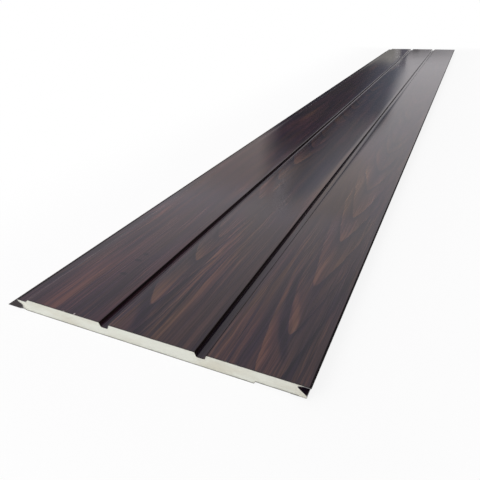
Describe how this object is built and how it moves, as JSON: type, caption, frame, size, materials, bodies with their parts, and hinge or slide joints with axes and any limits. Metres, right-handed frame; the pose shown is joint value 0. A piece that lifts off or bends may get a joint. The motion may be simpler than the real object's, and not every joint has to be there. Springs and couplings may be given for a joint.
{
  "type": "metal siding panel",
  "caption": "Long wood-grain metal siding panel with plank grooves, foam core, foil back, tongue and slot edges and a nailing flange.",
  "frame": {"origin": "middle of the underside of the bounding box, on the back plane", "axes": "+X across, from the nailing flange to the cover lip; +Y along the panel; +Z out of the face"},
  "size_m": [0.4144, 3, 0.018],
  "materials": {
    "wood_grain_film": "satin printed wood-grain film on coated steel",
    "rigid_foam": "matt sawn rigid polyurethane foam",
    "foil": "dull foil"
  },
  "bodies": {
    "root": {"face_sheet": "wood_grain_film", "foam_core": "rigid_foam", "backing_foil": "foil"}
  },
  "joints": []
}
